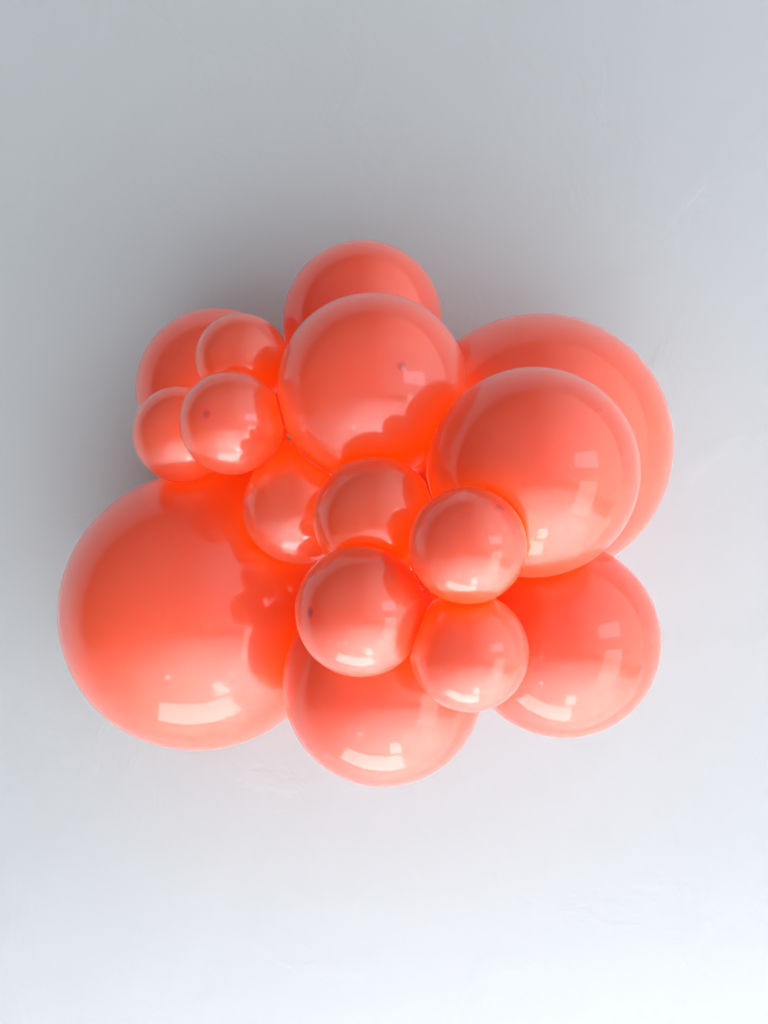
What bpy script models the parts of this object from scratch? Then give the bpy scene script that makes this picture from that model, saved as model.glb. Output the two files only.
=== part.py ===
"""Balloon garland: sixteen coral latex balloons, tied in four groups of four, for a wall.

The wall's face is the plane y = 0, and the garland stands out from it towards -y.
x runs to the right and z up, seen from the room. The origin is where the large
right balloon is pressed flat against the wall. Lengths are in metres, angles in degrees.
"""
import math
from typing import NamedTuple

import bmesh
import bpy
from mathutils import Vector


# Diameters of the blown-up balloons
LARGE_LEFT_DIAMETER = 0.313
LARGE_RIGHT_DIAMETER = 0.303
UPPER_LEFT_DIAMETER = 0.196
TOP_DIAMETER = 0.186
CENTRE_DIAMETER = 0.188
RIGHT_DIAMETER = 0.189
LOWER_RIGHT_DIAMETER = 0.194
BOTTOM_DIAMETER = 0.198
SMALL_UPPER_DIAMETER = 0.099
SMALL_FRONT_LEFT_DIAMETER = 0.101
SMALL_LEFT_DIAMETER = 0.104
SMALL_INNER_LEFT_DIAMETER = 0.114
SMALL_MIDDLE_DIAMETER = 0.112
SMALL_RIGHT_DIAMETER = 0.094
SMALL_FRONT_DIAMETER = 0.111
SMALL_LOWER_DIAMETER = 0.098

# From each group's tie to the round part of the balloon, along its axis
LARGE_LEFT_NECK = 0.071
LARGE_RIGHT_NECK = 0.035
UPPER_LEFT_NECK = 0.040
TOP_NECK = 0.061
CENTRE_NECK = 0.053
RIGHT_NECK = 0.052
LOWER_RIGHT_NECK = 0.049
BOTTOM_NECK = 0.049
SMALL_UPPER_NECK = 0.023
SMALL_FRONT_LEFT_NECK = 0.038
SMALL_LEFT_NECK = 0.050
SMALL_INNER_LEFT_NECK = 0.055
SMALL_MIDDLE_NECK = 0.021
SMALL_RIGHT_NECK = 0.030
SMALL_FRONT_NECK = 0.014
SMALL_LOWER_NECK = 0.027

# Where the large left balloon touches the wall, from where the large right one does
LARGE_APART = 0.378
LARGE_DROP = 0.183

# From the left tie to the upper small group's tie, and from the right tie to the front one's
UPPER_TIE_LEFT = 0.018
UPPER_TIE_OUT = 0.047
UPPER_TIE_RISE = 0.010
FRONT_TIE_LEFT = 0.021
FRONT_TIE_OUT = 0.124
FRONT_TIE_DROP = 0.023

# Fits and contact
TOUCH_GAP = 0.0003          # left between balloons that press on each other
WALL_PRESS = 0.006          # how far the two large balloons are flattened by the wall

# The tied end of every balloon
NECK_RADIUS = 0.0045        # where the pear shape ends
GATHERED_RADIUS = 0.0038    # of the gathered neck that runs on to the knot
KNOT_RADIUS = 0.0060
KNOT_LENGTH = 0.0075
TAIL_RADIUS = 0.0032        # of the short stretch between the knot and the rolled lip
TAIL_LENGTH = 0.0025
LIP_RADIUS = 0.0050         # of the rolled lip at the balloon's mouth
LIP_THICKNESS = 0.0030
TAPER_EASE = 0.72           # how far the taper runs on straight from the ball, as a share of it
GATHER_EASE = 0.14          # how much of it bends round into the neck

# Facets of the turned shapes
TAPER_RINGS = 3
NECK_SIDES = 8
LARGE_SIDES = 26
MEDIUM_SIDES = 22
SMALL_SIDES = 18


class Balloon(NamedTuple):
    """One balloon, which leaves its group's tie turned to the right and lifted."""
    name: str
    diameter: float
    neck: float
    turn: float
    lift: float
    sides: int
    finish: str


def large(name, diameter, neck, turn, lift):
    return Balloon("balloon_large_" + name, diameter, neck, turn, lift,
                   LARGE_SIDES, "coral_latex_large")


def medium(name, diameter, neck, turn, lift):
    return Balloon("balloon_" + name, diameter, neck, turn, lift,
                   MEDIUM_SIDES, "coral_latex_medium")


def small(name, diameter, neck, turn, lift):
    return Balloon("balloon_small_" + name, diameter, neck, turn, lift,
                   SMALL_SIDES, "coral_latex_small")


# The two large groups: the first balloon of each stands on the wall and places the tie
LEFT_GROUP = (
    large("left", LARGE_LEFT_DIAMETER, LARGE_LEFT_NECK, turn=-96.5, lift=-60.5),
    medium("upper_left", UPPER_LEFT_DIAMETER, UPPER_LEFT_NECK, turn=-123.5, lift=25),
    medium("top", TOP_DIAMETER, TOP_NECK, turn=117, lift=59.5),
    medium("centre", CENTRE_DIAMETER, CENTRE_NECK, turn=35.5, lift=12.5),
)
RIGHT_GROUP = (
    large("right", LARGE_RIGHT_DIAMETER, LARGE_RIGHT_NECK, turn=132, lift=36.5),
    medium("right", RIGHT_DIAMETER, RIGHT_NECK, turn=34.5, lift=30),
    medium("lower_right", LOWER_RIGHT_DIAMETER, LOWER_RIGHT_NECK, turn=78.5, lift=-37),
    medium("bottom", BOTTOM_DIAMETER, BOTTOM_NECK, turn=-65, lift=-62.5),
)

# The two groups of small balloons, tied on in front of the large groups' ties
UPPER_GROUP = (
    small("upper", SMALL_UPPER_DIAMETER, SMALL_UPPER_NECK, turn=-73, lift=57.5),
    small("front_left", SMALL_FRONT_LEFT_DIAMETER, SMALL_FRONT_LEFT_NECK, turn=-24, lift=-7.5),
    small("left", SMALL_LEFT_DIAMETER, SMALL_LEFT_NECK, turn=-85.5, lift=-9),
    small("inner_left", SMALL_INNER_LEFT_DIAMETER, SMALL_INNER_LEFT_NECK, turn=26.5, lift=-56.5),
)
FRONT_GROUP = (
    small("middle", SMALL_MIDDLE_DIAMETER, SMALL_MIDDLE_NECK, turn=-117, lift=45.5),
    small("right", SMALL_RIGHT_DIAMETER, SMALL_RIGHT_NECK, turn=23, lift=26),
    small("front", SMALL_FRONT_DIAMETER, SMALL_FRONT_NECK, turn=-65, lift=-19),
    small("lower", SMALL_LOWER_DIAMETER, SMALL_LOWER_NECK, turn=35, lift=-46),
)

# Colour (linear) and roughness of the latex: the more it is blown up, the paler
FINISHES = {
    "coral_latex_large": ((0.95, 0.235, 0.155, 1.0), 0.20),
    "coral_latex_medium": ((0.92, 0.205, 0.140, 1.0), 0.20),
    "coral_latex_small": ((0.88, 0.180, 0.125, 1.0), 0.22),
}


def direction(turn, lift):
    """The unit vector that starts straight out of the wall, turned right and lifted."""
    turn, lift = math.radians(turn), math.radians(lift)
    return Vector((
        math.cos(lift) * math.sin(turn),
        -math.cos(lift) * math.cos(turn),
        math.sin(lift),
    ))


class Placed:
    """A balloon with its place worked out: its centre, its axis and its tied end."""

    def __init__(self, balloon, tie):
        self.balloon = balloon
        self.radius = balloon.diameter / 2
        self.axis = direction(balloon.turn, balloon.lift)
        self.reach = self.radius + balloon.neck
        self.tie = tie
        self.centre = tie + self.axis * self.reach
        self.lip_offset = 0.0

    def nearest_on_neck(self, point):
        """The point of the neck's axis, from its lip to the round body, next to a point."""
        start = self.tie + self.axis * self.lip_offset
        end = self.centre - self.axis * self.radius
        run = end - start
        share = (point - start).dot(run) / run.length_squared
        return start + run * min(1.0, max(0.0, share))


def tie_behind(balloon, x, z):
    """The tie of a group whose first balloon touches the wall at x, z."""
    radius = balloon.diameter / 2
    centre = Vector((x, WALL_PRESS - radius, z))
    return centre - direction(balloon.turn, balloon.lift) * (radius + balloon.neck)


def lip_offset_for(group):
    """How far from their tie four lips lie when the two closest just touch."""
    closest = min(
        a.axis.angle(b.axis) for a in group for b in group if a is not b
    )
    return LIP_RADIUS / math.tan(closest / 2) + TOUCH_GAP / 2 / math.sin(closest / 2)


def place_group(balloons, tie):
    group = [Placed(balloon, tie) for balloon in balloons]
    offset = lip_offset_for(group)
    for placed in group:
        placed.lip_offset = offset
    return group


def neck_root(placed):
    """How far from the balloon's centre the pear shape ends and the gathered neck starts."""
    tied_end = placed.lip_offset + LIP_THICKNESS + TAIL_LENGTH + KNOT_LENGTH
    return placed.reach - tied_end


def body_outline(placed):
    """Half outline (distance from the axis, height) from the crown to the neck's root."""
    radius = placed.radius
    root = neck_root(placed)
    leave = (math.acos(radius / math.hypot(NECK_RADIUS, placed.reach))
             + math.atan(NECK_RADIUS / placed.reach))
    rings = placed.balloon.sides // 2 - 2
    points = []
    for ring in range(rings + 1):
        angle = (math.pi - leave) * ring / rings
        points.append((radius * math.sin(angle), radius * math.cos(angle)))

    # The taper runs straight on towards the neck, and gathers into it along the axis
    start_x, start_z = points[-1]
    span = math.hypot(start_x - NECK_RADIUS, start_z + root)
    run, gather = span * TAPER_EASE, span * GATHER_EASE
    control_x = (start_x, start_x - run * math.cos(leave), NECK_RADIUS, NECK_RADIUS)
    control_z = (start_z, start_z - run * math.sin(leave), gather - root, -root)
    for ring in range(1, TAPER_RINGS + 1):
        t = ring / TAPER_RINGS
        weights = ((1 - t) ** 3, 3 * t * (1 - t) ** 2, 3 * t * t * (1 - t), t ** 3)
        points.append((
            sum(w * x for w, x in zip(weights, control_x)),
            sum(w * z for w, z in zip(weights, control_z)),
        ))
    return points


def tied_end_outline(placed):
    """Half outline of the neck, knot, tail and rolled lip, starting inside the body."""
    lip_end = placed.reach - placed.lip_offset
    lip_start = lip_end - LIP_THICKNESS
    tail_start = lip_start - TAIL_LENGTH
    knot_start = tail_start - KNOT_LENGTH
    buried = placed.radius / 2
    return (
        (0.0, -buried),
        (GATHERED_RADIUS, -buried),
        (GATHERED_RADIUS, -knot_start),
        (KNOT_RADIUS, -(knot_start + KNOT_LENGTH * 0.35)),
        (KNOT_RADIUS, -(knot_start + KNOT_LENGTH * 0.70)),
        (TAIL_RADIUS, -tail_start),
        (TAIL_RADIUS, -lip_start),
        (LIP_RADIUS, -(lip_start + LIP_THICKNESS * 0.4)),
        (LIP_RADIUS, -lip_end),
        (0.0, -lip_end),
    )


def turned(outline, sides):
    """A closed solid, turned about z from its half outline."""
    shape = bmesh.new()
    verts = [shape.verts.new((x, 0.0, z)) for x, z in outline]
    edges = [shape.edges.new(pair) for pair in zip(verts, verts[1:])]
    bmesh.ops.spin(
        shape, geom=verts + edges, axis=(0, 0, 1), cent=(0, 0, 0), angle=math.tau, steps=sides,
    )
    bmesh.ops.remove_doubles(shape, verts=shape.verts, dist=1e-6)
    open_edges = [edge for edge in shape.edges if edge.is_boundary]
    if open_edges:
        bmesh.ops.edgeloop_fill(shape, edges=open_edges)
    bmesh.ops.recalc_face_normals(shape, faces=shape.faces)
    return shape


def cut_flat(shape, point, normal):
    """Cut away what lies past a plane, and close the cut with one flat face."""
    everything = shape.verts[:] + shape.edges[:] + shape.faces[:]
    cut = bmesh.ops.bisect_plane(
        shape, geom=everything, dist=1e-6, plane_co=point, plane_no=normal, clear_outer=True,
    )
    rim = [edge for edge in cut["geom_cut"] if isinstance(edge, bmesh.types.BMEdge)]
    rim = [edge for edge in rim if edge.is_boundary]
    if rim:
        bmesh.ops.edgeloop_fill(shape, edges=rim)


def contact_planes(placed, others):
    """Planes (point, normal out) that flatten a balloon: the wall, neighbours and necks."""
    planes = [(Vector((0, 0, 0)), Vector((0, 1, 0)))]
    for other in others:
        across = other.centre - placed.centre
        distance = across.length
        normal = across / distance

        # Two pressed balls meet on the plane through the circle that they share
        squares = distance ** 2 + placed.radius ** 2 - other.radius ** 2
        meeting = squares / (2 * distance) - TOUCH_GAP / 2
        planes.append((placed.centre + normal * meeting, normal))

        # A neighbour's neck and knot dent the body where they would run into it
        beside = other.nearest_on_neck(placed.centre) - placed.centre
        room = beside.length - KNOT_RADIUS - TOUCH_GAP
        if room < max(placed.radius, neck_root(placed)):
            normal = beside.normalized()
            planes.append((placed.centre + normal * room, normal))
    return planes


def new_object(name, shape):
    mesh = bpy.data.meshes.new(name)
    shape.to_mesh(mesh)
    shape.free()
    thing = bpy.data.objects.new(name, mesh)
    bpy.context.scene.collection.objects.link(thing)
    return thing


def join_tied_end(body, tied_end):
    """Make the body and its tied end one closed solid."""
    union = body.modifiers.new("tied_end", "BOOLEAN")
    union.operation = "UNION"
    union.object = tied_end
    evaluated = body.evaluated_get(bpy.context.evaluated_depsgraph_get())
    whole = bpy.data.meshes.new_from_object(evaluated)
    body.modifiers.remove(union)
    sketch = body.data
    body.data = whole
    bpy.data.meshes.remove(sketch)
    whole.name = body.name
    bpy.data.objects.remove(tied_end)


def latex(name):
    """Glossy stretched latex in the finish's own colour."""
    material = bpy.data.materials.get(name)
    if material is None:
        colour, roughness = FINISHES[name]
        material = bpy.data.materials.new(name)
        material.use_nodes = True
        shader = material.node_tree.nodes["Principled BSDF"]
        shader.inputs["Base Color"].default_value = colour
        shader.inputs["Roughness"].default_value = roughness
        shader.inputs["Metallic"].default_value = 0.0
        material.diffuse_color = colour
    return material


def build_balloon(placed, others, tie_empty):
    """Turn a balloon about its own axis, flatten its contacts and hang it on its tie."""
    to_axis = Vector((0, 0, 1)).rotation_difference(placed.axis)
    to_local = to_axis.inverted()
    shape = turned(body_outline(placed), placed.balloon.sides)
    for point, normal in contact_planes(placed, others):
        cut_flat(shape, to_local @ (point - placed.centre), to_local @ normal)
    bmesh.ops.recalc_face_normals(shape, faces=shape.faces)

    body = new_object(placed.balloon.name, shape)
    tied_end = new_object(placed.balloon.name + "_tied_end",
                          turned(tied_end_outline(placed), NECK_SIDES))
    join_tied_end(body, tied_end)
    body.data.shade_smooth()
    body.data.set_sharp_from_angle(angle=math.radians(35))
    body.data.materials.clear()
    body.data.materials.append(latex(placed.balloon.finish))
    body.parent = tie_empty
    body.location = placed.axis * placed.reach
    body.rotation_mode = "QUATERNION"
    body.rotation_quaternion = to_axis


def build_garland():
    right_tie = tie_behind(RIGHT_GROUP[0], 0.0, 0.0)
    left_tie = tie_behind(LEFT_GROUP[0], -LARGE_APART, -LARGE_DROP)
    front_tie = right_tie - Vector((FRONT_TIE_LEFT, FRONT_TIE_OUT, FRONT_TIE_DROP))
    upper_tie = left_tie + Vector((-UPPER_TIE_LEFT, -UPPER_TIE_OUT, UPPER_TIE_RISE))
    groups = {
        "tie_left": place_group(LEFT_GROUP, left_tie),
        "tie_upper": place_group(UPPER_GROUP, upper_tie),
        "tie_right": place_group(RIGHT_GROUP, right_tie),
        "tie_front": place_group(FRONT_GROUP, front_tie),
    }
    everyone = [placed for group in groups.values() for placed in group]
    for name, group in groups.items():
        tie_empty = bpy.data.objects.new(name, None)
        tie_empty.location = group[0].tie
        tie_empty.empty_display_size = KNOT_RADIUS
        bpy.context.scene.collection.objects.link(tie_empty)
        for placed in group:
            others = [other for other in everyone if other is not placed]
            build_balloon(placed, others, tie_empty)


for old in list(bpy.data.objects):
    bpy.data.objects.remove(old)

build_garland()
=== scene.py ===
import math
from typing import NamedTuple

import bpy
import numpy as np
from mathutils import Matrix, Vector


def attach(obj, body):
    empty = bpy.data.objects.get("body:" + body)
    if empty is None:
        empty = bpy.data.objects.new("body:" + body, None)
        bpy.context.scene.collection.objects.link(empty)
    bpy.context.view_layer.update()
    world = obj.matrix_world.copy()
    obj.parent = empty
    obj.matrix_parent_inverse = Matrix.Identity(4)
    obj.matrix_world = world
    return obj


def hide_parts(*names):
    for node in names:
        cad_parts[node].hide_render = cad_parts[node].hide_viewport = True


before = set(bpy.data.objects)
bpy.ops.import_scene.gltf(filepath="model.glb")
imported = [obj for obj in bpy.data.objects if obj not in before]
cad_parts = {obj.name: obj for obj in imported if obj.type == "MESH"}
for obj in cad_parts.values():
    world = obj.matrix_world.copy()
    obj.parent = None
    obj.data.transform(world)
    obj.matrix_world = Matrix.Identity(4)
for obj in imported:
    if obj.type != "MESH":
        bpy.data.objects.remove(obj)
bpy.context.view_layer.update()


# Left four
# The large left balloon and three medium ones, moulded of thin coral latex and blown up tight.
# Each neck is knotted, its rolled lip sticks out past the knot, and the four necks are drawn
# into one tie. The large balloon and the upper left one are pressed on the wall.
LARGE_APART = 0.378         # between the places where the two large balloons touch the wall
LARGE_DROP = 0.183
WALL_PRESS = 0.006          # how far the wall flattens the large balloons
TOUCH_GAP = 0.0003          # left between balloons that press on each other

KNOT_RADIUS = 0.0060
KNOT_LENGTH = 0.0075
KNOT_FULLNESS = 0.7         # below 1 the knot is more of a barrel than a bead
NECK_RADIUS = 0.0045        # where the pear shape ends, at the knot
PINCH_RADIUS = 0.0038       # of the neck inside the knot's first turn
TAIL_RADIUS = 0.0032        # of the stretch between the knot and the rolled lip
TAIL_LENGTH = 0.0025
LIP_RADIUS = 0.0050
LIP_THICKNESS = 0.0030
MOUTH_DEPTH = 0.0018        # of the dimple in the closed mouth
TAPER_EASE = 0.72           # how far the taper runs on straight from the ball, as a share of it
GATHER_EASE = 0.14          # how much of it bends round into the neck

FACE_DIAMETER = 0.100       # of a balloon whose skin has faces of this length
FACE_LENGTH = 0.0026
RINGS_PER_SIDE = 0.70
WELD_DISTANCE = 2e-6        # closes the turned skin's seam and poles
TAPER_RINGS = 26
KNOT_RINGS = 14
LIP_RINGS = 12
MOUTH_RINGS = 3

PLEATS_LARGE = 17           # gathered folds around the neck
PLEATS_MEDIUM = 14
PLEATS_SMALL = 10
PLEAT_DEPTH = 0.0009
PLEAT_REACH = 0.55          # how far the folds run up the taper, in shares of the ball's radius
WRAP_DEPTH = 0.0011         # of the grooves between the knot's turns
WRAP_TURNS = 1.6
CROWN_RISE = 0.0006         # the thick spot that the mould leaves opposite the neck
CROWN_WIDTH = 0.0050


class Balloon(NamedTuple):
    """One balloon, which leaves its group's tie turned to the right and lifted, in degrees."""
    name: str
    diameter: float
    neck: float             # from the tie to the round part
    turn: float
    lift: float
    layer: int              # counted out from the wall; the further out, the rounder it stays
    slot: str
    pleats: int
    crown: tuple = ()       # turn and lift of the crown, where the balloon is blown up askew
    mark: float = 0.10      # how dark the crown's spot is


def large(name, diameter, neck, turn, lift, layer):
    return Balloon("large_" + name, diameter, neck, turn, lift, layer,
                   "latex_large", PLEATS_LARGE)


def medium(name, diameter, neck, turn, lift, layer, *crown):
    return Balloon(name, diameter, neck, turn, lift, layer,
                   "latex_medium", PLEATS_MEDIUM, *crown)


def small(name, diameter, neck, turn, lift, layer, *crown):
    return Balloon("small_" + name, diameter, neck, turn, lift, layer,
                   "latex_small", PLEATS_SMALL, *crown)


def direction(turn, lift):
    """The unit vector that starts straight out of the wall, turned right and lifted."""
    turn, lift = math.radians(turn), math.radians(lift)
    return Vector((
        math.cos(lift) * math.sin(turn),
        -math.cos(lift) * math.cos(turn),
        math.sin(lift),
    ))


class Placed:
    """A balloon with its place worked out, and its skin once that is made."""

    def __init__(self, balloon, tie):
        self.balloon = balloon
        self.radius = balloon.diameter / 2
        self.axis = direction(balloon.turn, balloon.lift)
        self.crown = direction(*balloon.crown) if balloon.crown else self.axis
        self.reach = self.radius + balloon.neck
        self.tie = tie
        self.centre = tie + self.axis * self.reach
        self.lip_offset = 0.0
        self.skin = None

    @property
    def knot_start(self):
        """How far from the balloon's centre the taper ends and the knot starts."""
        tied_end = self.lip_offset + LIP_THICKNESS + TAIL_LENGTH + KNOT_LENGTH
        return self.reach - tied_end

    @property
    def leave(self):
        """The angle at the centre, from the neck's side, where the pear leaves the ball."""
        straight = math.hypot(NECK_RADIUS, self.reach)
        return math.acos(self.radius / straight) + math.atan(NECK_RADIUS / self.reach)


def tie_behind(balloon, x, z):
    """The tie of a group whose first balloon touches the wall at x, z."""
    radius = balloon.diameter / 2
    centre = Vector((x, WALL_PRESS - radius, z))
    return centre - direction(balloon.turn, balloon.lift) * (radius + balloon.neck)


def tie_four(balloons, tie):
    """Four balloons placed round their tie, with the two closest lips just touching."""
    four = [Placed(balloon, tie) for balloon in balloons]
    closest = min(a.axis.angle(b.axis) for a in four for b in four if a is not b)
    for placed in four:
        placed.lip_offset = (
            LIP_RADIUS / math.tan(closest / 2) + TOUCH_GAP / 2 / math.sin(closest / 2)
        )
    return four


def ball_outline(placed, rings):
    """Half outline (distance from the axis, height) from the crown to where the pear begins."""
    angles = [(math.pi - placed.leave) * ring / rings for ring in range(rings + 1)]
    return [(placed.radius * math.sin(a), placed.radius * math.cos(a)) for a in angles]


def taper_outline(placed):
    """The pear's side, which runs straight on from the ball and gathers into the neck."""
    angle = math.pi - placed.leave
    start_x, start_z = placed.radius * math.sin(angle), placed.radius * math.cos(angle)
    end_z = -placed.knot_start
    span = math.hypot(start_x - NECK_RADIUS, start_z - end_z)
    run, gather = span * TAPER_EASE, span * GATHER_EASE
    control_x = (start_x, start_x - run * math.cos(placed.leave), NECK_RADIUS, NECK_RADIUS)
    control_z = (start_z, start_z - run * math.sin(placed.leave), end_z + gather, end_z)
    points = []
    for ring in range(1, TAPER_RINGS + 1):
        t = ring / TAPER_RINGS
        weights = ((1 - t) ** 3, 3 * t * (1 - t) ** 2, 3 * t * t * (1 - t), t ** 3)
        points.append((
            sum(w * x for w, x in zip(weights, control_x)),
            sum(w * z for w, z in zip(weights, control_z)),
        ))
    return points


def tied_end_outline(placed):
    """The knot's bulge, the tail, the rolled lip as a bead and the dimpled, closed mouth."""
    knot_start = placed.knot_start
    tail_start = knot_start + KNOT_LENGTH
    lip_start = tail_start + TAIL_LENGTH
    points = []
    for ring in range(1, KNOT_RINGS + 1):
        t = ring / KNOT_RINGS
        waist = PINCH_RADIUS + (TAIL_RADIUS - PINCH_RADIUS) * t
        bulge = (KNOT_RADIUS - waist) * math.sin(math.pi * t) ** KNOT_FULLNESS
        points.append((waist + bulge, -(knot_start + KNOT_LENGTH * t)))
    points.append((TAIL_RADIUS, -(tail_start + TAIL_LENGTH / 2)))
    bead = LIP_THICKNESS / 2
    for ring in range(LIP_RINGS + 1):
        angle = math.pi * (0.5 - ring / LIP_RINGS)
        points.append((
            LIP_RADIUS - bead + bead * math.cos(angle),
            -(lip_start + bead - bead * math.sin(angle)),
        ))
    lip_end = lip_start + LIP_THICKNESS
    for ring in range(1, MOUTH_RINGS + 1):
        t = ring / MOUTH_RINGS
        points.append(((LIP_RADIUS - bead) * (1 - t), -(lip_end - MOUTH_DEPTH * t)))
    return points


def socket_named(tree, name, kind):
    return tree.interface.new_socket(name, in_out="INPUT", socket_type=kind).identifier


def fed(tree, kind, settings=(), **inputs):
    """A node with its inputs set or linked.

    An underscore stands for a space in an input's name, and n6 is the input numbered 6.
    """
    node = tree.nodes.new(kind)
    for name, value in dict(settings).items():
        setattr(node, name, value)
    for name, value in inputs.items():
        key = int(name[1:]) if name[1:].isdigit() else name.replace("_", " ")
        if isinstance(value, bpy.types.NodeSocket):
            tree.links.new(value, node.inputs[key])
        else:
            node.inputs[key].default_value = value
    return node


def maths(tree, operation, *values):
    inputs = {f"n{place}": value for place, value in enumerate(values)}
    return fed(tree, "ShaderNodeMath", {"operation": operation}, **inputs).outputs[0]


def vector_maths(tree, operation, *values):
    """The node itself, because some of its results are vectors and some are values."""
    inputs = {f"n{place}": value for place, value in enumerate(values)}
    return fed(tree, "ShaderNodeVectorMath", {"operation": operation}, **inputs)


def falling(tree, value, start, end):
    """1 at start, easing down to 0 at end."""
    inputs = {"From_Min": start, "From_Max": end, "To_Min": 1.0, "To_Max": 0.0}
    kind = {"interpolation_type": "SMOOTHSTEP"}
    return fed(tree, "ShaderNodeMapRange", kind, Value=value, **inputs).outputs["Result"]


def turned_skin_tree():
    """Turns an outline into a balloon's skin, and moulds its pleats, knot turns and crown."""
    tree = bpy.data.node_groups.new("turned_skin", "GeometryNodeTree")
    socket_named(tree, "Outline", "NodeSocketGeometry")
    names = {"Sides": "NodeSocketInt", "Pleats": "NodeSocketFloat", "Radius": "NodeSocketFloat",
             "Knot Start": "NodeSocketFloat", "Knot Length": "NodeSocketFloat",
             "Pleat Depth": "NodeSocketFloat", "Pleat Reach": "NodeSocketFloat",
             "Wrap Depth": "NodeSocketFloat", "Wrap Turns": "NodeSocketFloat",
             "Crown Rise": "NodeSocketFloat", "Crown Width": "NodeSocketFloat",
             "Crown": "NodeSocketVector", "Mark": "NodeSocketFloat",
             "Latex": "NodeSocketMaterial"}
    keys = {name: socket_named(tree, name, kind) for name, kind in names.items()}
    tree.interface.new_socket("Skin", in_out="OUTPUT", socket_type="NodeSocketGeometry")
    given = tree.nodes.new("NodeGroupInput").outputs

    # The outline is swept round a circle of 1 m, with its distances counted from that circle
    outline = fed(tree, "GeometryNodeMeshToCurve", Mesh=given["Outline"]).outputs[0]
    circle = fed(tree, "GeometryNodeCurvePrimitiveCircle", Resolution=given["Sides"], Radius=1.0)
    skin = fed(tree, "GeometryNodeCurveToMesh", Curve=circle.outputs[0], Profile_Curve=outline)
    skin = fed(tree, "GeometryNodeMergeByDistance", Geometry=skin.outputs[0],
               Distance=WELD_DISTANCE)

    place = fed(tree, "GeometryNodeInputPosition").outputs[0]
    parts = fed(tree, "ShaderNodeSeparateXYZ", Vector=place).outputs
    outward = fed(tree, "ShaderNodeCombineXYZ", X=parts["X"], Y=parts["Y"]).outputs[0]
    outward = vector_maths(tree, "NORMALIZE", outward).outputs[0]
    turn = maths(tree, "ARCTAN2", parts["Y"], parts["X"])
    above_knot = maths(tree, "ADD", parts["Z"], given["Knot Start"])
    towards = vector_maths(tree, "NORMALIZE", place).outputs[0]
    cosine = vector_maths(tree, "DOT_PRODUCT", towards, given["Crown"]).outputs["Value"]
    from_crown = maths(tree, "ARCCOSINE", maths(tree, "MINIMUM", cosine, 1.0))
    from_crown = maths(tree, "MULTIPLY", from_crown, given["Radius"])

    skin = fed(tree, "GeometryNodeStoreNamedAttribute", {"data_type": "FLOAT"},
               Geometry=skin.outputs[0], Name="from_crown", Value=from_crown)
    skin = fed(tree, "GeometryNodeStoreNamedAttribute", {"data_type": "FLOAT"},
               Geometry=skin.outputs[0], Name="above_knot", Value=above_knot)
    skin = fed(tree, "GeometryNodeStoreNamedAttribute", {"data_type": "FLOAT"},
               Geometry=skin.outputs[0], Name="crown_mark", Value=given["Mark"])

    # Pleats gather towards the knot and run on to the lip
    ripple = maths(tree, "COSINE", maths(tree, "MULTIPLY", turn, given["Pleats"]))
    ripple = maths(tree, "MULTIPLY_ADD", ripple, 0.5, -0.5)
    pleat = maths(tree, "MULTIPLY", ripple, given["Pleat Depth"])
    pleat = maths(tree, "MULTIPLY", pleat, falling(tree, above_knot, 0.0, given["Pleat Reach"]))

    # The knot's turns wind round it
    down_knot = maths(tree, "DIVIDE", above_knot, given["Knot Length"])
    down_knot = fed(tree, "ShaderNodeClamp", Value=maths(tree, "MULTIPLY", down_knot, -1.0))
    down_knot = down_knot.outputs[0]
    swell = maths(tree, "SINE", maths(tree, "MULTIPLY", down_knot, math.pi))
    wind = maths(tree, "MULTIPLY", down_knot, given["Wrap Turns"])
    wind = maths(tree, "MULTIPLY_ADD", wind, math.tau, turn)
    groove = maths(tree, "MULTIPLY_ADD", maths(tree, "COSINE", wind), 0.5, -0.5)
    groove = maths(tree, "MULTIPLY", maths(tree, "MULTIPLY", groove, given["Wrap Depth"]), swell)

    # The crown is a shallow dome
    dome = falling(tree, from_crown, 0.0, given["Crown Width"])
    dome = maths(tree, "MULTIPLY", dome, given["Crown Rise"])

    sideways = vector_maths(tree, "SCALE", outward)
    tree.links.new(maths(tree, "ADD", pleat, groove), sideways.inputs["Scale"])
    raised = vector_maths(tree, "SCALE", towards)
    tree.links.new(dome, raised.inputs["Scale"])
    moved = vector_maths(tree, "ADD", sideways.outputs[0], raised.outputs[0]).outputs[0]
    skin = fed(tree, "GeometryNodeSetPosition", Geometry=skin.outputs[0], Offset=moved)
    skin = fed(tree, "GeometryNodeSetShadeSmooth", Geometry=skin.outputs[0])
    skin = fed(tree, "GeometryNodeRealizeInstances", Geometry=skin.outputs[0])
    skin = fed(tree, "GeometryNodeSetMaterial", Geometry=skin.outputs[0],
               Material=given["Latex"])
    end = tree.nodes.new("NodeGroupOutput")
    tree.links.new(skin.outputs[0], end.inputs["Skin"])
    return tree, keys


skin_tree, skin_keys = turned_skin_tree()


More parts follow.
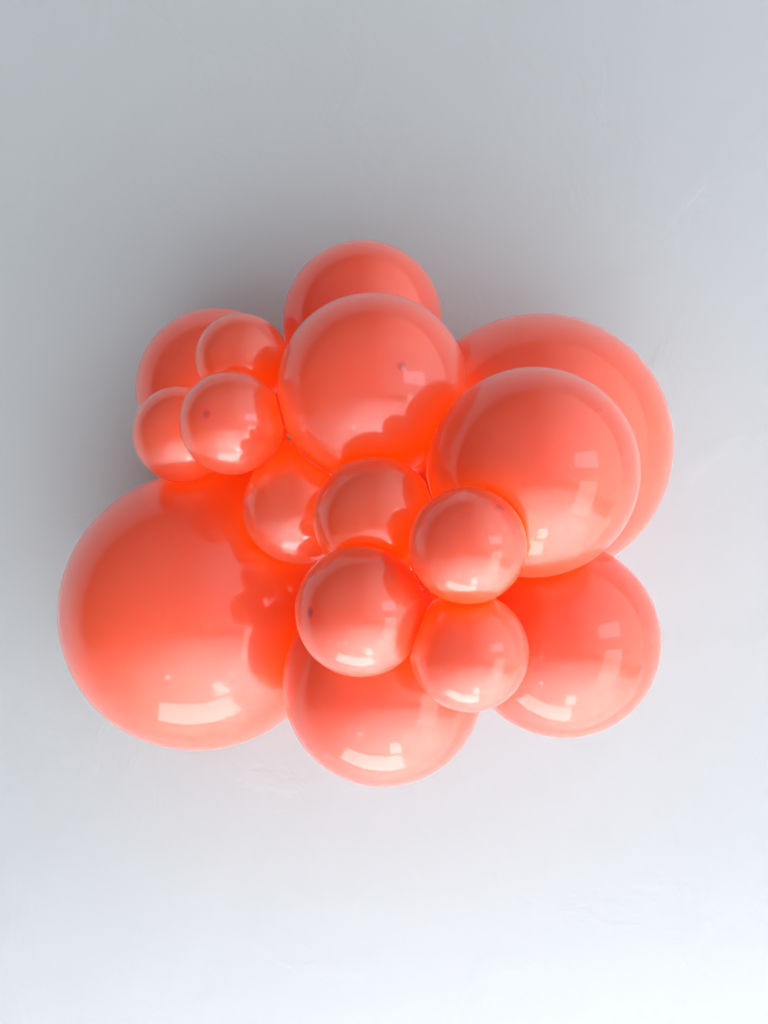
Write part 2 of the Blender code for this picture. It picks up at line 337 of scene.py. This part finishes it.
def turn_skin(placed, latex):
    """Turns one balloon's skin, brings it to its place and hangs it on the frame."""
    balloon = placed.balloon
    face = FACE_LENGTH * math.sqrt(balloon.diameter / FACE_DIAMETER)
    sides = 4 * round(math.pi * balloon.diameter / face / 4)
    to_axis = Vector((0, 0, 1)).rotation_difference(placed.axis)
    outline = ball_outline(placed, round(sides * RINGS_PER_SIDE))
    outline += taper_outline(placed) + tied_end_outline(placed)
    drawn = bpy.data.meshes.new("outline")
    drawn.from_pydata(
        [(x - 1.0, -z, 0.0) for x, z in outline],
        [(i, i + 1) for i in range(len(outline) - 1)],
        [],
    )
    piece = bpy.data.objects.new("skin_" + balloon.name, drawn)
    bpy.context.scene.collection.objects.link(piece)
    turning = piece.modifiers.new("turned_skin", "NODES")
    turning.node_group = skin_tree
    values = {"Sides": sides, "Pleats": float(balloon.pleats), "Radius": placed.radius,
              "Knot Start": placed.knot_start, "Knot Length": KNOT_LENGTH,
              "Pleat Depth": PLEAT_DEPTH, "Pleat Reach": PLEAT_REACH * placed.radius,
              "Wrap Depth": WRAP_DEPTH, "Wrap Turns": WRAP_TURNS,
              "Crown Rise": CROWN_RISE, "Crown Width": CROWN_WIDTH,
              "Crown": to_axis.inverted() @ placed.crown, "Mark": balloon.mark,
              "Latex": latex}
    for name, value in values.items():
        turning[skin_keys[name]] = value
    evaluated = piece.evaluated_get(bpy.context.evaluated_depsgraph_get())
    skin = bpy.data.meshes.new_from_object(evaluated)
    piece.modifiers.remove(turning)
    piece.data = skin
    bpy.data.meshes.remove(drawn)
    skin.name = piece.name
    skin.transform(to_axis.to_matrix().to_4x4())
    skin.transform(Matrix.Translation(placed.centre))
    placed.skin = piece
    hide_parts("balloon_" + balloon.name)
    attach(piece, "root")


LARGE_CORAL = (0.79, 0.108, 0.044, 1.0)
MEDIUM_CORAL = (0.72, 0.096, 0.042, 1.0)
CORAL_DEEP = (0.90, 0.060, 0.022, 1.0)      # where the latex is thick
CROWN_BROWN = (0.26, 0.032, 0.040, 1.0)
PAINTED_CREVICE_CORAL = (0.95, 0.115, 0.004, 1.0)    # painted glow colour for the crevices, in place of light passed on from the next balloon
PAINTED_SKIN_GLOW = (0.140, 0.005, 0.0, 1.0)    # painted glow of the whole skin, in place of light let through it
PAINTED_CREVICE_GLOW = (0.400, 0.036, 0.0, 1.0)     # and the stronger painted glow where balloons lie close together
CROWN_SPOT = (0.0012, 0.0070)       # how far out each shade round the crown starts and ends
CROWN_STAIN = (0.003, 0.024)
CROWN_HALO = (0.002, 0.022)
NECK_SHADE = (0.004, 0.040)         # and how far up from the knot


def coral_latex(name, coral, gloss, blur):
    """Latex skin: paler where it is stretched, deeper at the neck, with a dark crown spot, and a
    painted orange glow in the crevices between balloons.
    """
    latex = bpy.data.materials.new(name)
    latex.use_nodes = True
    tree = latex.node_tree
    shader = tree.nodes["Principled BSDF"]
    from_crown = fed(tree, "ShaderNodeAttribute", {"attribute_name": "from_crown"}).outputs["Fac"]
    above_knot = fed(tree, "ShaderNodeAttribute", {"attribute_name": "above_knot"}).outputs["Fac"]
    mark = fed(tree, "ShaderNodeAttribute", {"attribute_name": "crown_mark"}).outputs["Fac"]
    close = fed(tree, "ShaderNodeAttribute", {"attribute_name": "closeness"}).outputs["Fac"]
    where = fed(tree, "ShaderNodeTexCoord").outputs["Object"]

    # Cloudy thickness of the latex, and the thicker rubber round the crown and at the neck
    cloud = fed(tree, "ShaderNodeTexNoise", Vector=where, Scale=28.0, Detail=3.0, Roughness=0.55)
    cloud = maths(tree, "MULTIPLY", cloud.outputs["Fac"], 0.22)
    halo = maths(tree, "MULTIPLY", falling(tree, from_crown, *CROWN_HALO), 0.55)
    halo = maths(tree, "MULTIPLY", halo, mark)
    neck = maths(tree, "MULTIPLY", falling(tree, above_knot, *NECK_SHADE), 0.85)
    thick = maths(tree, "MAXIMUM", maths(tree, "MAXIMUM", halo, neck), cloud)
    colour = fed(tree, "ShaderNodeMix", {"data_type": "RGBA"}, n0=thick, n6=coral,
                 n7=CORAL_DEEP)
    stain = maths(tree, "MULTIPLY", falling(tree, from_crown, *CROWN_STAIN), 0.22)
    spot = maths(tree, "MAXIMUM", falling(tree, from_crown, *CROWN_SPOT), stain)
    spot = maths(tree, "MULTIPLY", spot, mark)
    colour = fed(tree, "ShaderNodeMix", {"data_type": "RGBA"}, n0=spot, n6=colour.outputs[2],
                 n7=CROWN_BROWN)
    # Painted glow: towards the crevices between balloons the colour turns a brighter, deeper
    # orange, for light passed on from the next balloon
    painted_crevice_tint = maths(tree, "MULTIPLY", close, 0.85)
    colour = fed(tree, "ShaderNodeMix", {"data_type": "RGBA"}, n0=painted_crevice_tint, n6=colour.outputs[2],
                 n7=PAINTED_CREVICE_CORAL)
    tree.links.new(colour.outputs[2], shader.inputs["Base Color"])

    # Painted glow: the skin gives off a little orange light of its own, most of all where
    # balloons lie close, in place of light let through the thin latex from one balloon into the
    # next
    painted_glow = fed(tree, "ShaderNodeMix", {"data_type": "RGBA"}, n0=close, n6=PAINTED_SKIN_GLOW,
                  n7=PAINTED_CREVICE_GLOW)
    tree.links.new(painted_glow.outputs[2], shader.inputs["Emission Color"])
    shader.inputs["Emission Strength"].default_value = 1.0
    latex.cycles.emission_sampling = "NONE"     # too weak to be worth aiming light rays at

    # A powdery bloom dulls the gloss in fine patches
    bloom = fed(tree, "ShaderNodeTexNoise", Vector=where, Scale=160.0, Detail=4.0, Roughness=0.6)
    rough = fed(tree, "ShaderNodeMapRange", Value=bloom.outputs["Fac"], From_Min=0.3,
                From_Max=0.7, To_Min=0.34, To_Max=0.42)
    tree.links.new(rough.outputs["Result"], shader.inputs["Roughness"])
    grain = fed(tree, "ShaderNodeTexNoise", Vector=where, Scale=900.0, Detail=2.0)
    bump = fed(tree, "ShaderNodeBump", Height=grain.outputs["Fac"], Strength=0.06,
               Distance=0.0004)
    tree.links.new(bump.outputs["Normal"], shader.inputs["Normal"])

    shader.inputs["Metallic"].default_value = 0.0
    shader.inputs["IOR"].default_value = 1.50
    shader.inputs["Subsurface Weight"].default_value = 0.90
    shader.inputs["Subsurface Radius"].default_value = (1.0, 0.10, 0.03)
    shader.inputs["Subsurface Scale"].default_value = 0.100
    shader.inputs["Specular IOR Level"].default_value = 0.42
    shader.inputs["Coat Weight"].default_value = gloss
    shader.inputs["Coat Roughness"].default_value = blur
    shader.inputs["Coat IOR"].default_value = 1.65
    shader.inputs["Sheen Weight"].default_value = 0.05
    shader.inputs["Sheen Roughness"].default_value = 0.35
    return latex


latexes = {
    "latex_large": coral_latex("coral_latex_large", LARGE_CORAL, gloss=0.80, blur=0.07),
    "latex_medium": coral_latex("coral_latex_medium", MEDIUM_CORAL, gloss=0.88, blur=0.035),
}

left_balloons = (
    large("left", 0.313, 0.071, -96.5, -60.5, 0),
    medium("upper_left", 0.196, 0.040, -123.5, 25, 0),
    medium("top", 0.186, 0.061, 117, 59.5, 1),
    medium("centre", 0.188, 0.053, 35.5, 12.5, 3, (16.5, 5), 0.70),
)
left_tie = tie_behind(left_balloons[0], -LARGE_APART, -LARGE_DROP)
left_four = tie_four(left_balloons, left_tie)
for placed in left_four:
    turn_skin(placed, latexes[placed.balloon.slot])


# Right four
# The large right balloon and three medium ones, of the same latex, tied in the same way.
# The large one is pressed on the wall, and the medium ones lie on it and on each other.
right_balloons = (
    large("right", 0.303, 0.035, 132, 36.5, 0),
    medium("right", 0.189, 0.052, 34.5, 30, 4),
    medium("lower_right", 0.194, 0.049, 78.5, -37, 2),
    medium("bottom", 0.198, 0.049, -65, -62.5, 2),
)
right_tie = tie_behind(right_balloons[0], 0.0, 0.0)
right_four = tie_four(right_balloons, right_tie)
for placed in right_four:
    turn_skin(placed, latexes[placed.balloon.slot])


# Upper small four
# Small balloons of the same latex, less blown up and so a little deeper in colour.
# They are tied on in front of the left four's tie and lie in the hollows between its balloons.
UPPER_TIE_LEFT = 0.018
UPPER_TIE_OUT = 0.047
UPPER_TIE_RISE = 0.010
SMALL_CORAL = (0.61, 0.102, 0.048, 1.0)
latex_small = coral_latex("coral_latex_small", SMALL_CORAL, gloss=1.0, blur=0.025)

upper_balloons = (
    small("upper", 0.099, 0.023, -73, 57.5, 2),
    small("front_left", 0.101, 0.038, -24, -7.5, 3, (-17, 3), 0.75),
    small("left", 0.104, 0.050, -85.5, -9, 2),
    small("inner_left", 0.114, 0.055, 26.5, -56.5, 2),
)
upper_tie = left_tie + Vector((-UPPER_TIE_LEFT, -UPPER_TIE_OUT, UPPER_TIE_RISE))
upper_four = tie_four(upper_balloons, upper_tie)
for placed in upper_four:
    turn_skin(placed, latex_small)


# Front small four
# Four more small balloons of the same latex, tied on in front of the right four's tie.
# They stand out furthest from the wall, pressed on the medium ones and on each other.
FRONT_TIE_LEFT = 0.021
FRONT_TIE_OUT = 0.124
FRONT_TIE_DROP = 0.023

front_balloons = (
    small("middle", 0.112, 0.021, -117, 45.5, 4),
    small("right", 0.094, 0.030, 23, 26, 5, (38, 39), 0.75),
    small("front", 0.111, 0.014, -65, -19, 6, (-46, 3), 1.0),
    small("lower", 0.098, 0.027, 35, -46, 5),
)
front_tie = right_tie - Vector((FRONT_TIE_LEFT, FRONT_TIE_OUT, FRONT_TIE_DROP))
front_four = tie_four(front_balloons, front_tie)
for placed in front_four:
    turn_skin(placed, latex_small)


# Where the balloons press on each other
# Blown-up latex gives way where it touches. The balloon in front stays nearly round and the one
# behind is dented, two of the same layer meet on a flat round patch, the wall flattens the
# three behind, and a neighbour's neck and knot leave a dent in a ball.
FRONT_FIRMNESS = 0.75       # how much of its roundness the balloon in front keeps
SOFT_SHARE = 0.05           # how wide a patch's rounded edge is, in shares of the ball's radius
SOFT_OF_DEPTH = 0.35        # the same in shares of the depth, where a patch is shallow
PEAR_SOFTNESS = 0.002       # of the rounding where a pear's taper gives way
PEAR_BLEND = 0.45           # radians of the ball over which it turns into the taper
NECK_FADE = 0.006           # of room at the axis, within which the taper shrinks to its neck
NOTHING = 1e-9              # a length that only keeps a division in bounds
PRESS_SWEEPS = 3
CLOSE_REACH = 0.017         # how fast the painted glow between two balloons fades away from them
FROM_BEHIND = 0.30          # what a balloon further back adds to it
OPEN_CLOSENESS = 0.15       # below this the skin lies open


def meeting_planes(placed, everyone):
    """Planes (point, normal out, softness, bulge) that a balloon stays behind."""
    planes = [(np.zeros(3), np.array((0.0, 1.0, 0.0)), placed.radius + placed.centre.y, None)]
    for other in everyone:
        if other is placed:
            continue
        across = other.centre - placed.centre
        normal = across.normalized()
        squares = across.length_squared + placed.radius ** 2 - other.radius ** 2
        meeting = squares / (2 * across.length) - TOUCH_GAP / 2
        point = placed.centre + normal * meeting
        bulge = None
        if placed.balloon.layer > other.balloon.layer:
            bulge = (placed.radius, meeting, 1.0)
        elif placed.balloon.layer < other.balloon.layer:
            bulge = (other.radius, across.length - meeting - TOUCH_GAP, -1.0)
        planes.append((np.array(point), np.array(normal), placed.radius - meeting, bulge))

        start = other.tie + other.axis * other.lip_offset
        run = other.centre - other.axis * other.radius - start
        share = min(1.0, max(0.0, (placed.centre - start).dot(run) / run.length_squared))
        beside = start + run * share - placed.centre
        room = beside.length - KNOT_RADIUS - TOUCH_GAP
        if room < max(placed.radius, placed.knot_start):
            normal = beside.normalized()
            point = placed.centre + normal * room
            planes.append((np.array(point), np.array(normal), placed.radius - room, None))
    widest = SOFT_SHARE * placed.radius
    return [
        (point, normal, max(PEAR_SOFTNESS, min(widest, SOFT_OF_DEPTH * depth)), bulge)
        for point, normal, depth, bulge in planes
    ]


def past_face(spots, point, normal, bulge):
    """How far points are past a meeting face, which bulges out from the balloon in front."""
    offset = spots - point
    past = offset @ normal
    if bulge is None:
        return past
    radius, distance, side = bulge
    across = np.linalg.norm(offset - past[:, None] * normal, axis=1)

    # The face lies between the plane and the front ball, in the same share everywhere
    slack = (1 - FRONT_FIRMNESS) / FRONT_FIRMNESS
    a, b = 1 - slack ** 2, distance + slack * radius
    c = distance ** 2 + across ** 2 - radius ** 2
    height = (np.sqrt(np.maximum(b ** 2 - a * c, 0.0)) - b) / a
    return past - side * height


def given_way(past, softness):
    """How far a point moves back from a plane that it is past, eased over the softness."""
    eased = (past + softness) ** 2 / (4 * softness)
    return np.where(past > softness, past, np.where(past > -softness, eased, 0.0))


def spots_of(skin):
    """The places of a skin's points, one row for each."""
    spots = np.empty(len(skin.vertices) * 3, np.float32)
    skin.vertices.foreach_get("co", spots)
    return spots.reshape(-1, 3).astype(float)


def drawn_in(placed, spots, past, point, normal):
    """The taper's skin drawn in to its axis, but no thinner than the pinched neck."""
    centre, axis = np.array(placed.centre), np.array(placed.axis)
    on_axis = centre + ((spots - centre) @ axis)[:, None] * axis
    beside = spots - on_axis
    girth = np.linalg.norm(beside, axis=1)
    room = -((on_axis - point) @ normal)
    reach = np.maximum(beside @ normal, NOTHING)
    share = 1 - given_way(past, PEAR_SOFTNESS) / reach
    share = np.where(beside @ normal > 0, np.clip(share, 0, 1), 1.0)
    share *= np.clip(room / NECK_FADE, 0, 1)
    least = np.minimum(1.0, PINCH_RADIUS / np.maximum(girth, NOTHING))
    return on_axis + beside * np.maximum(share, least)[:, None]


def press(placed, everyone):
    """Moves the skin back behind its planes: the ball straight back, the taper to its axis."""
    skin = placed.skin.data
    spots = spots_of(skin)
    outward = spots - np.array(placed.centre)
    along = outward @ np.array(placed.axis)
    from_crown = np.arccos(np.clip(along / np.linalg.norm(outward, axis=1), -1, 1))
    pear = np.clip((from_crown - (math.pi - placed.leave)) / PEAR_BLEND + 1, 0, 1)[:, None]
    tied_end = along < -placed.knot_start
    kept = spots[tied_end].copy()
    planes = meeting_planes(placed, everyone)
    for sweep in range(PRESS_SWEEPS):
        for point, normal, softness, bulge in planes:
            past = past_face(spots, point, normal, bulge)
            straight_back = spots - given_way(past, softness)[:, None] * normal
            to_axis = drawn_in(placed, spots, past, point, normal)
            spots = straight_back * (1 - pear) + to_axis * pear
            spots[tied_end] = kept
    skin.vertices.foreach_set("co", spots.astype(np.float32).ravel())
    skin.update()


def note_closeness(placed, everyone):
    """Stores how deep in the crevices between its neighbours each spot of the skin lies."""
    skin = placed.skin.data
    spots = spots_of(skin)
    closeness = np.zeros(len(spots))
    for other in everyone:
        if other is not placed:
            apart = np.linalg.norm(spots - np.array(other.centre), axis=1) - other.radius
            share = 1.0 if other.balloon.layer >= placed.balloon.layer else FROM_BEHIND
            closeness += share * np.exp(-np.maximum(apart, 0.0) / CLOSE_REACH)
    values = np.clip((closeness - OPEN_CLOSENESS) / (1 - OPEN_CLOSENESS), 0.0, 1.0)
    values = values.astype(np.float32)
    skin.attributes.new("closeness", "FLOAT", "POINT").data.foreach_set("value", values)


garland = left_four + right_four + upper_four + front_four
for placed in garland:
    press(placed, garland)
    note_closeness(placed, garland)


# The wall, the floor and the light
# The garland hangs on a pale plastered wall. Cards low in front of the wall light it from
# below, with a bright floor, a tall window and a small one on the right.
WALL_SIZE = 9.0
WALL_GAP = 0.0006
FLOOR_DROP = 1.80
WALL_PAINT = (0.465, 0.487, 0.505, 1.0)
FLOOR_PAINT = (0.78, 0.78, 0.78, 1.0)
DAYLIGHT = (0.90, 0.97, 1.0)
SKY = (0.82, 0.80, 1.0)

ROOM_AIR = (0.97, 0.98, 1.0, 1.0)
ROOM_RIGHT = 1.46           # how bright the room is straight to the right
ROOM_FRONT = 0.42           # straight in front of the wall
ROOM_ABOVE = 0.12           # and overhead

CAMERA_PLACE = (-0.1724, -1.10, -0.0732)
LONG_SIDE = 1024            # of the picture, in pixels
FOCAL_PIXELS = 831          # the focal length in the same pixels


def plaster(name, colour, see_through_behind):
    """Matt painted plaster, faintly uneven."""
    material = bpy.data.materials.new(name)
    material.use_nodes = True
    tree = material.node_tree
    shader = tree.nodes["Principled BSDF"]
    where = fed(tree, "ShaderNodeTexCoord").outputs["Object"]
    strokes = fed(tree, "ShaderNodeTexNoise", Vector=where, Scale=7.0, Detail=4.0, Roughness=0.5,
                  Distortion=0.6)
    fine = fed(tree, "ShaderNodeTexNoise", Vector=where, Scale=160.0, Detail=2.0)
    height = maths(tree, "MULTIPLY_ADD", fine.outputs["Fac"], 0.05, strokes.outputs["Fac"])

    # Here and there the trowel left a raised edge
    swept = fed(tree, "ShaderNodeTexNoise", Vector=where, Scale=8.0, Detail=4.0, Roughness=0.55,
                Distortion=1.6)
    edge = maths(tree, "SUBTRACT", 1.0, falling(tree, swept.outputs["Fac"], 0.50, 0.68))
    height = maths(tree, "MULTIPLY_ADD", edge, 0.20, height)
    bump = fed(tree, "ShaderNodeBump", Height=height, Strength=0.36, Distance=0.004)
    tree.links.new(bump.outputs["Normal"], shader.inputs["Normal"])
    shader.inputs["Base Color"].default_value = colour
    shader.inputs["Roughness"].default_value = 0.75
    if see_through_behind:
        # The garland can then be looked at from the wall's side too
        behind = fed(tree, "ShaderNodeNewGeometry").outputs["Backfacing"]
        clear = tree.nodes.new("ShaderNodeBsdfTransparent")
        mixed = fed(tree, "ShaderNodeMixShader", n0=behind, n1=shader.outputs[0],
                    n2=clear.outputs[0])
        tree.links.new(mixed.outputs[0], tree.nodes["Material Output"].inputs["Surface"])
    return material


def backdrop(name, corners, material):
    """A flat sheet that shows the room and is no part of the garland."""
    mesh = bpy.data.meshes.new(name)
    mesh.from_pydata(corners, [], [(0, 1, 2, 3)])
    mesh.materials.append(material)
    sheet = bpy.data.objects.new(name, mesh)
    bpy.context.scene.collection.objects.link(sheet)


half = WALL_SIZE / 2
backdrop("wall", [(-half, WALL_GAP, -FLOOR_DROP), (half, WALL_GAP, -FLOOR_DROP),
                  (half, WALL_GAP, half), (-half, WALL_GAP, half)],
         plaster("painted_plaster", WALL_PAINT, True))
backdrop("floor", [(-half, -WALL_SIZE, -FLOOR_DROP), (half, -WALL_SIZE, -FLOOR_DROP),
                   (half, WALL_SIZE, -FLOOR_DROP), (-half, WALL_SIZE, -FLOOR_DROP)],
         plaster("pale_floor", FLOOR_PAINT, False))


def card(name, place, aim, width, height, radiance, colour=(1.0, 1.0, 1.0)):
    """A soft rectangular light that faces a point. Its radiance is that of a white wall at 1."""
    light = bpy.data.lights.new(name, "AREA")
    light.shape = "RECTANGLE"
    light.size, light.size_y = width, height
    light.energy = radiance * math.pi * width * height
    light.color = colour
    lamp = bpy.data.objects.new(name, light)
    lamp.location = place
    lamp.rotation_mode = "QUATERNION"
    lamp.rotation_quaternion = (Vector(aim) - Vector(place)).to_track_quat("-Z", "Y")
    lamp.visible_camera = False
    bpy.context.scene.collection.objects.link(lamp)
    return lamp


card("card_below", (-0.40, -0.43, -1.70), (-0.40, -0.43, 0.0), 1.20, 0.60, 3.3)
card("card_corner", (0.14, -1.04, -1.70), (0.14, -1.04, 0.0), 0.26, 0.44, 4.2)
card("spark", (-0.95, -1.60, -1.70), (-0.30, -0.25, 0.0), 0.13, 0.13, 5.0)
card("sky_window", (1.78, -2.00, 0.38), (0.0, -0.3, 0.0), 1.20, 0.62, 1.8, SKY)
card("tall_window", (1.66, -1.72, -1.05), (0.0, -0.3, 0.0), 0.90, 1.35, 1.7)
card("floor_wash", (0.90, -1.10, -0.80), (0.90, -1.10, -1.80), 1.8, 1.6, 7.2, DAYLIGHT)
card("floor_wash_wide", (0.80, -3.20, -0.50), (0.80, -3.20, -1.80), 4.4, 3.6, 3.0, DAYLIGHT)
card("floor_wash_left", (-0.90, -1.40, -0.90), (-0.90, -1.40, -1.80), 1.8, 1.8, 2.2, DAYLIGHT)
for name, place, size, radiance in (
        ("side_fill", (2.90, -0.85, -1.20), 1.80, 4.8),
        ("low_fill", (-0.40, -0.43, -1.72), 1.30, 0.4)):
    card(name, place, (0.0, -0.2, 0.0), size, size, radiance).visible_glossy = False

# The room is bright on the right, dim in front and dark on the left
world = bpy.data.worlds.new("pale_room")
world.use_nodes = True
air = world.node_tree
looking = fed(air, "ShaderNodeTexCoord").outputs["Generated"]
towards = fed(air, "ShaderNodeSeparateXYZ", Vector=looking).outputs
right = maths(air, "MULTIPLY", maths(air, "MAXIMUM", towards["X"], 0.0), ROOM_RIGHT)
front = maths(air, "MULTIPLY", maths(air, "MINIMUM", towards["Y"], 0.0), -ROOM_FRONT)
above = maths(air, "MULTIPLY", maths(air, "MAXIMUM", towards["Z"], 0.0), ROOM_ABOVE)
glow = maths(air, "ADD", maths(air, "ADD", right, front), above)
air.nodes["Background"].inputs["Color"].default_value = ROOM_AIR
air.links.new(glow, air.nodes["Background"].inputs["Strength"])
scene = bpy.context.scene
scene.world = world
scene.view_settings.view_transform = "Standard"
scene.cycles.diffuse_bounces = 5
scene.cycles.max_bounces = 7

lens = bpy.data.cameras.new("camera")
lens.lens = lens.sensor_width * FOCAL_PIXELS / LONG_SIDE
camera = bpy.data.objects.new("camera", lens)
camera.location = CAMERA_PLACE
camera.rotation_euler = (math.pi / 2, 0.0, 0.0)
scene.collection.objects.link(camera)
scene.camera = camera
